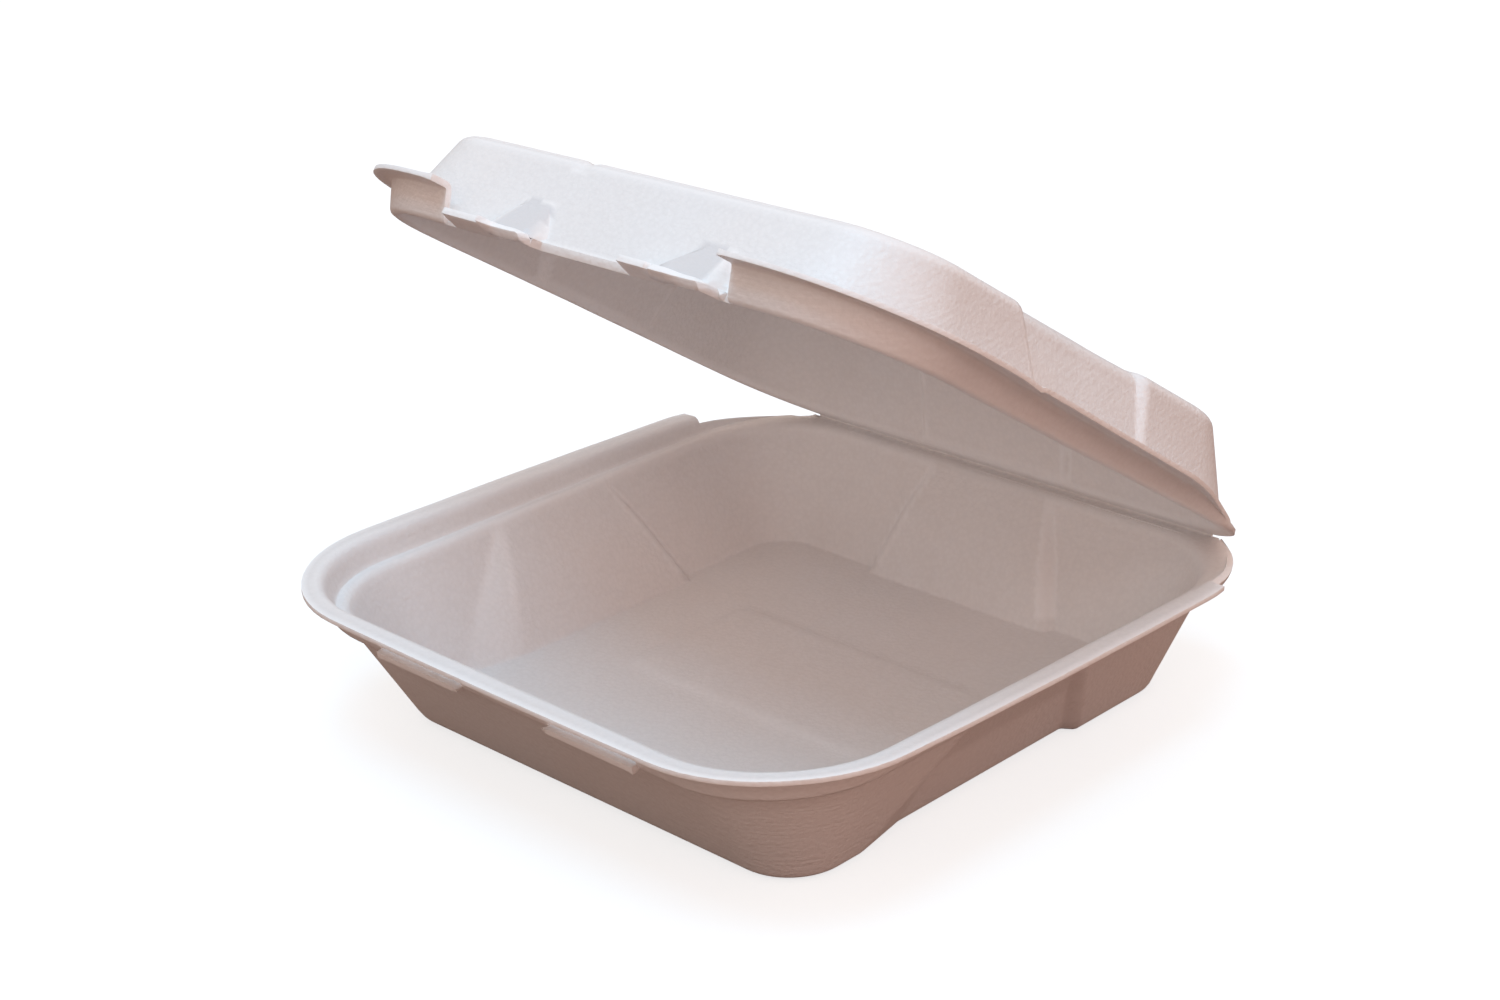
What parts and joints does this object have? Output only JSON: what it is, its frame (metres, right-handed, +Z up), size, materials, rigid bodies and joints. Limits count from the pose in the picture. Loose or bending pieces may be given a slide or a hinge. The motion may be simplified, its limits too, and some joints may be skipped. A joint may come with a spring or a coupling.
{
  "type": "foam food container",
  "caption": "Square foam clamshell container: a tray and a hinged lid formed in one sheet, standing part open, with tongues on the lid and slots in the tray's lip.",
  "frame": {"origin": "centre of the tray's flat underside, on the surface it stands on", "axes": "+Z up, -Y towards the front where the lid catches, +Y towards the hinge, +X to the right seen from the front"},
  "size_m": [0.2386, 0.2346, 0.181],
  "materials": {
    "foam": "matte foam with a faint sheen"
  },
  "bodies": {
    "tray": {"tray": "foam"},
    "lid": {"lid": "foam"}
  },
  "joints": [
    {"name": "lid_hinge", "type": "hinge", "parent": "tray", "child": "lid", "pos_m": [0, 0.11, 0.0414], "axis": [-1, 0, 0], "range_deg": [-33.5, 146.5]}
  ]
}
